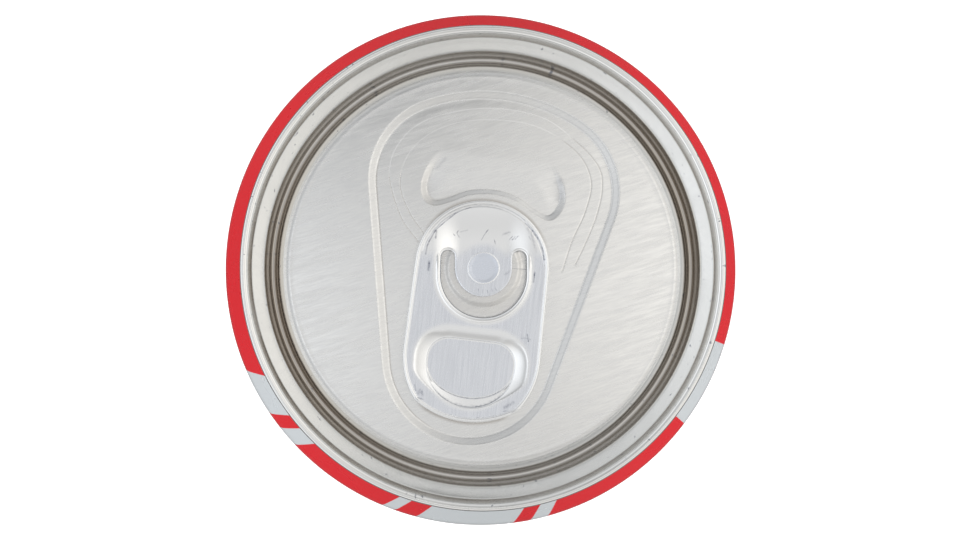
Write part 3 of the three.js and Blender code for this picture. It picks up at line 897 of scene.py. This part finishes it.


# tab height: web and well, step down to the island, bead round the slot, rolled edge
# the second result says how burnished the metal is, its brighter colour a painted sheen: 0 on brushed flats,
# 1 on pressed and rolled forms
# the third is painted shade in the creases of the nose and along both edges of the ledge
def tabHeight(points, plan, lines):
    x, y = points.T
    edge = distanceTo(points, lines["edge"])
    slot = -distanceTo(points, lines["slot"])
    well = -distanceTo(points, lines["well"])
    rim = -distanceTo(points, lines["ledge"])
    height, burnishAndSheen = wellHeight(x, y, well, rim, plan)
    # step down to the island at the hinge and a shallow trough before it, both in the slot's own axes
    across, along = turnedBy(points, -plan["slotTurn"]).T
    fromRivet = np.hypot(x, y)
    lift = ease(along, *plan["stepFoot"])
    step = ramp(fromRivet, *plan["hinge"], 0.2)
    middle = (plan["slotRadius"] + plan["islandRadius"]) / 2
    onIsland = (np.abs(across) < middle) & (along < plan["stepFoot"][1])
    onIsland &= np.hypot(across, along + plan["slotDrop"]) < middle
    onWeb = np.where(onIsland, lift * step, 1 - lift * (1 - step))
    trough = ease(along, *plan["troughFrom"]) * (1 - ease(along, *plan["troughTo"]))
    trough *= plan["trough"] * (1 - ease(np.abs(across), *plan["troughSides"]))
    height = plan["island"] + (height - trough - plan["island"]) * onWeb
    shine = ease(along, *plan["hingeShine"]) * ease(fromRivet, *plan["hingeShineRadius"])
    burnishAndSheen = np.maximum(burnishAndSheen, shine)
    # bead round the slot, dying out at the caps, and the chamfered cut of the island
    betweenCaps = ease(along, *plan["capFade"]) * (1 - ease(np.abs(across), *plan["capSides"]))
    beadShare = np.where(onIsland, 0, 1 - betweenCaps)
    crest = height + (plan["lipTop"] - plan["web"]) * (1 - ease(along, *plan["lipEnd"]))
    bead = plan["lipFoot"] + (crest - plan["lipFoot"]) * arched(slot, plan["lipWide"])
    height += (withRim(height, bead, slot, plan["lipWide"]) - height) * beadShare
    cut, cutWide = plan["chamfer"]
    height -= cut * (1 - np.clip(slot / cutWide, 0, 1)) * (1 - beadShare)
    burnishAndSheen = np.maximum(burnishAndSheen, beadShare * (1 - ease(slot, *plan["lipShine"])))
    # rolled outer edge, flatter at the nose and heel, with two creases along the nose
    atHeel = np.maximum(plan["waist"] - y, 0) / np.hypot(x, y - plan["waist"])
    atEnds = np.maximum(np.maximum(y, 0) / fromRivet, atHeel)
    power = plan["curlPower"][0] + plan["curlPower"][1] * atEnds**2
    rolled = plan["edgeMid"] + plan["curlHigh"] * arched(edge, plan["curlWide"], power)
    height = withRim(height, rolled, edge, plan["curlWide"])
    # painted shade along the feet of the plate and ledge and in the nose's creases
    paintedCreaseShade = np.zeros(len(points))
    for distance, (wide, low, high) in ((well, plan["plateFoot"]), (rim, plan["ledgeFoot"])):
        paintedCreaseShade = np.maximum(paintedCreaseShade, plan["footShade"] * ridge(distance, wide) * ease(-y, low, high))
    for crease in plan["creases"]:
        line = np.clip(1 - np.abs(edge - crease) / plan["creaseWide"], 0, 1) * ease(y, *plan["creaseFrom"])
        height -= plan["creaseDeep"] * line
        paintedCreaseShade = np.maximum(paintedCreaseShade, plan["creaseShade"] * line)
    return height, np.maximum(burnishAndSheen, 1 - ease(edge, *plan["curlShine"])), paintedCreaseShade


# metal of the tab: brushed along its length, burnished where it is pressed or rolled, with a painted sheen
# in its brighter colour
tabMetalPlan = {
    "bright": (0.91, 0.915, 0.92, 1), "brushed": (0.81, 0.83, 0.875, 1), "shade": (0.72, 0.74, 0.79, 1),
    "scuffAndShade": (0.06, 0.075, 0.14, 1), "scuffAndShadeSize": 3000.0, "scuffAndShadeShare": (0.45, 1.15),
    "grain": (220.0, 7000.0), "grainDepth": 0.0008, "brightRough": 0.16, "brushedRough": (0.2, 0.34),
}


def makeTabMetal(plan):
    material, tree, shader, place = newMaterial("tabMetal")
    along, across = plan["grain"]
    turn = math.radians(-90 - tabPlan["turn"])
    lines = placeGroup(tree, rollingLines, Vector=place, Turn=turn, Along=along, Across=across)["Lines"]
    smear = placeGroup(tree, handling, Vector=place, Size=plan["scuffAndShadeSize"])["Smear"]
    burnishAndSheen = attribute(tree, "burnishAndSheen")
    brushed = mixedColour(tree, mapped(tree, lines, 0.3, 0.7), plan["brushed"], plan["shade"])
    # brighter colour where burnished: a painted sheen besides the smoother finish
    colour = mixedColour(tree, burnishAndSheen, brushed, plan["bright"])
    # scuffs and painted shade, their strength varied by a soft cloud
    share = mapped(tree, smear, 0.0, 1.0, *plan["scuffAndShadeShare"])
    darkened = maths(tree, "MULTIPLY", attribute(tree, "scuffAndShade"), share)
    rough = mapped(tree, lines, 0.25, 0.75, *plan["brushedRough"])
    bump = addNode(tree, "ShaderNodeBump", Strength=1.0, Distance=plan["grainDepth"] * mm, Height=lines)
    feed(tree, shader,
         Base_Color=mixedColour(tree, darkened, colour, plan["scuffAndShade"]),
         Roughness=mixedValue(tree, burnishAndSheen, rough, plan["brightRough"]),
         Normal=bump.outputs[0], Metallic=1.0)
    return material


# rows of points beside the tab's lines, close together where the form bends most
tabRows = {
    "edge": [0.01, 0.03, 0.06, 0.1, 0.15, 0.21, 0.27, 0.32, 0.35, 0.38, 0.4, 0.42, 0.45, 0.5, 0.56, 0.6,
             0.63, 0.66, 0.7, 0.76, 0.85],
    "slot": [-0.01, -0.03, -0.06, -0.1, -0.15, -0.21, -0.28, -0.36, -0.43, -0.5, -0.56, -0.6, -0.64, -0.68,
             -0.73, -0.8],
    "well": [-0.12, -0.06, -0.02, 0.0, 0.02, 0.06, 0.1, 0.14],
    "ledge": [0.06, 0.02, 0.0, -0.02, -0.05, -0.09, -0.14, -0.2, -0.25, -0.32, -0.42, -0.54, -0.66, -0.78,
              -0.9, -1.05, -1.2, -1.35, -1.5, -1.65],
}


# underside: flat, lifted along the slot, and a quarter of an ellipse down from the rolled edge
def tabUnderside(edge, slot, plan):
    lifted = plan["islandFoot"] * (1 - ease(slot, 0, plan["footReach"]))
    inward = np.clip(edge / plan["rollReach"], 0, 1)
    rolled = plan["edgeMid"] * (1 - np.sqrt(1 - (1 - inward) ** 2))
    return np.where(edge < 2, rolled, lifted)


def makeTab(plan):
    lines = {"edge": tabLoop(plan), "slot": slotLoop(plan)}
    lines["well"] = wellLoop(plan, plan["wellBottom"])
    lines["ledge"] = wellLoop(plan, plan["ledgeBottom"])
    beside = [besideLine(lines[name], offsets) for name, offsets in tabRows.items()]
    rows = thinned(np.vstack([*beside, strokeRows(plan["scuffsAndShade"])]), 0.004)
    low, high = lines["edge"].min(0), lines["edge"].max(0)
    spread = np.vstack([rows, clearOf(lattice(low, high, 0.2), rows, 0.12)])
    kept = (distanceTo(spread, lines["edge"]) > 0.008) & (distanceTo(spread, lines["slot"]) < -0.008)
    loops = [lines["edge"], lines["slot"]]
    flat, faces = triangulated(loops, spread[kept], lambda p: distanceTo(p, lines["slot"]) < 0)
    rimCount = len(lines["edge"]) + len(lines["slot"])
    faces = faces[(faces >= rimCount).any(1)]  # a face on rim points alone would be its own underside
    top, burnishAndSheen, paintedCreaseShade = tabHeight(flat, plan, lines)
    under = tabUnderside(distanceTo(flat, lines["edge"]), -distanceTo(flat, lines["slot"]), plan)
    placed = np.array(endPlan["rivet"]) + turnedBy(flat, plan["turn"])
    topPoints = np.column_stack([placed, tabBottom + top])
    underPoints = np.column_stack([placed, tabBottom + under])[rimCount:]
    mirrored = np.where(faces < rimCount, faces, faces - rimCount + len(flat))[:, ::-1]
    points = np.vstack([topPoints, underPoints])
    metal = makeTabMetal(tabMetalPlan)
    tab = addPiece("pullTab", points, [faces, mirrored], metal, "tab")
    # burnished finish with painted sheen on both sides; scuffs and painted shade on the top only
    shade = np.maximum(paintedCreaseShade, strokeShade(flat, plan["scuffsAndShade"]))
    setAttribute(tab, "burnishAndSheen", np.concatenate([burnishAndSheen, burnishAndSheen[rimCount:]]))
    setAttribute(tab, "scuffAndShade", np.append(shade, np.zeros(len(flat) - rimCount)))


makeTab(tabPlan)

# camera: the photo's view, almost straight down on the rim
cameraPlan = {
    "lens": 304.4, "distance": 900.0, "upDeg": 98.05,
    "left": 18.46, "down": 14.67,       # offset of the camera from the can's axis, along the picture's axes
    "aimLeft": 0.35, "aimDown": 0.22,   # the rim's middle is this far right of and above the picture's
}
upTurn = math.radians(cameraPlan["upDeg"])
upDir = Vector((math.cos(upTurn), math.sin(upTurn), 0))
rightDir = Vector((upDir.y, -upDir.x, 0))


def makeCamera(plan):
    data = bpy.data.cameras.new("camera")
    data.lens = plan["lens"]
    data.sensor_width = 36
    data.clip_start, data.clip_end = 0.01, 20
    camera = addObject("camera", data)
    rim = Vector((0, 0, canHeight * mm))
    over = rim + Vector((0, 0, plan["distance"] * mm))
    place = over - rightDir * plan["left"] * mm - upDir * plan["down"] * mm
    aim = rim - rightDir * plan["aimLeft"] * mm - upDir * plan["aimDown"] * mm
    back = (place - aim).normalized()
    right = upDir.cross(back).normalized()
    up = back.cross(right)
    camera.matrix_world = Matrix.Translation(place) @ Matrix((right, up, back)).transposed().to_4x4()
    bpy.context.scene.camera = camera


makeCamera(cameraPlan)

# studio: pale floor, a dome of light with its own tone on each side, and fill lights for the print
studioPlan = {
    "floorRadius": 6.0, "floorSeen": (0.5, 0.8), "floorFelt": 0.1,   # base and glow as seen, base as felt
    "turn": 10, "zenith": (0.73, 0.73, 0.73), "backdrop": 0.97,
    "sides": {                           # tint, then (sine of the elevation, brightness)
        "right": ((1.02, 1.0, 0.96), [
            (0.0, 0.7), (0.17, 0.85), (0.37, 1.14), (0.56, 1.19), (0.74, 1.0), (0.87, 0.78), (0.96, 1.2),
            (0.99, 1.4)]),
        "left": ((0.98, 1.0, 1.02), [
            (0.0, 0.2), (0.17, 0.8), (0.37, 1.34), (0.56, 1.22), (0.74, 1.0), (0.87, 0.54), (0.94, 0.7),
            (0.97, 1.1), (0.99, 1.4)]),
        "top": ((0.99, 1.0, 1.01), [
            (0.0, 0.6), (0.17, 0.62), (0.37, 0.86), (0.56, 0.74), (0.74, 0.6), (0.87, 0.58), (0.96, 0.34),
            (0.99, 0.22)]),
        "bottom": ((1.01, 1.0, 0.98), [
            (0.0, 0.4), (0.17, 0.5), (0.37, 0.93), (0.56, 0.9), (0.74, 0.78), (0.87, 0.68), (0.93, 0.6),
            (0.96, 0.52), (0.99, 0.48)]),
    },
    "fillHeight": 14, "fillDistance": 0.9, "fillSize": 0.6,
    "fills": [("fillRight", 0, 6.9), ("fillLeft", 180, 6.3), ("fillTop", 90, 4.1), ("fillBottom", 270, 4.6)],
}


def makeFloor(plan):
    rim = arc((0, 0), plan["floorRadius"], 0, 360, 65)[:-1]
    mesh = bpy.data.meshes.new("floor")
    mesh.from_pydata(np.column_stack([rim, np.zeros(len(rim))]).tolist(), [], [list(range(len(rim)))])
    material, tree, shader, place = newMaterial("paleFloor")
    seenBase, seenGlow = plan["floorSeen"]
    seen = tree.nodes.new("ShaderNodeLightPath").outputs["Is Camera Ray"]
    pale = mapped(tree, noise(tree, Vector=place, Scale=3.0), 0.3, 0.7, seenBase - 0.01, seenBase + 0.01)
    feed(tree, shader, Base_Color=mixedValue(tree, seen, plan["floorFelt"], pale), Roughness=0.8,
         Emission_Color=seen, Emission_Strength=seenGlow)
    mesh.materials.append(material)
    floor = addObject("floor", mesh)


# light of one side: its brightness read from stops over the sine of the elevation, up to the zenith's colour
def sideGlow(tree, height, tint, stops, zenith):
    node = addNode(tree, "ShaderNodeValToRGB", Fac=height)
    elements = node.color_ramp.elements
    elements[1].color = (*zenith, 1)
    elements[0].color = (*(part * stops[0][1] for part in tint), 1)
    for position, tone in stops[1:]:
        elements.new(position).color = (*(part * tone for part in tint), 1)
    return node.outputs["Color"]


# share of one side: square of the cosine between the level direction and that side
def sideShare(tree, along, levelSquared):
    ahead = maths(tree, "MAXIMUM", along, 0.0)
    return maths(tree, "DIVIDE", maths(tree, "MULTIPLY", ahead, ahead), levelSquared)


def makeWorld(plan):
    world = bpy.data.worlds.new("dome")
    world.use_nodes = True
    tree = world.node_tree
    direction = tree.nodes.new("ShaderNodeTexCoord").outputs["Generated"]
    height = addNode(tree, "ShaderNodeSeparateXYZ", Vector=direction).outputs[2]
    turn = math.radians(plan["turn"])
    skyRight = rightDir * math.cos(turn) + upDir * math.sin(turn)
    skyUp = upDir * math.cos(turn) - rightDir * math.sin(turn)
    across = vectors(tree, "DOT_PRODUCT", i0=direction, i1=skyRight)
    along = vectors(tree, "DOT_PRODUCT", i0=direction, i1=skyUp)
    level = maths(tree, "MAXIMUM", squares(tree, across, along), 1e-6)
    back = maths(tree, "MULTIPLY", across, -1.0)
    down = maths(tree, "MULTIPLY", along, -1.0)
    glow = (0, 0, 0)
    for side, facing in (("right", across), ("left", back), ("top", along), ("bottom", down)):
        colour = sideGlow(tree, height, *plan["sides"][side], plan["zenith"])
        part = vectors(tree, "SCALE", i0=colour, Scale=sideShare(tree, facing, level))
        glow = vectors(tree, "ADD", i0=glow, i1=part)
    seen = tree.nodes.new("ShaderNodeLightPath").outputs["Is Camera Ray"]
    backdrop = (*[plan["backdrop"]] * 3, 1)
    feed(tree, tree.nodes["Background"], Color=mixedColour(tree, seen, glow, backdrop))
    bpy.context.scene.world = world


def makeFill(name, aroundDeg, watts, plan):
    data = bpy.data.lights.new(name, "AREA")
    data.size = plan["fillSize"]
    data.energy = watts
    light = addObject(name, data)
    turn, lift = math.radians(aroundDeg), math.radians(plan["fillHeight"])
    level = rightDir * math.cos(turn) + upDir * math.sin(turn)
    away = level * math.cos(lift) + Vector((0, 0, math.sin(lift)))
    light.location = Vector((0, 0, canHeight * mm)) + away * plan["fillDistance"]
    light.rotation_mode = "QUATERNION"
    light.rotation_quaternion = (-away).to_track_quat("-Z", "Y")
    light.visible_camera = False
    light.visible_glossy = False


makeFloor(studioPlan)
makeWorld(studioPlan)
for name, aroundDeg, watts in studioPlan["fills"]:
    makeFill(name, aroundDeg, watts, studioPlan)
bpy.context.scene.view_settings.view_transform = "Standard"
print("camera and studio made")
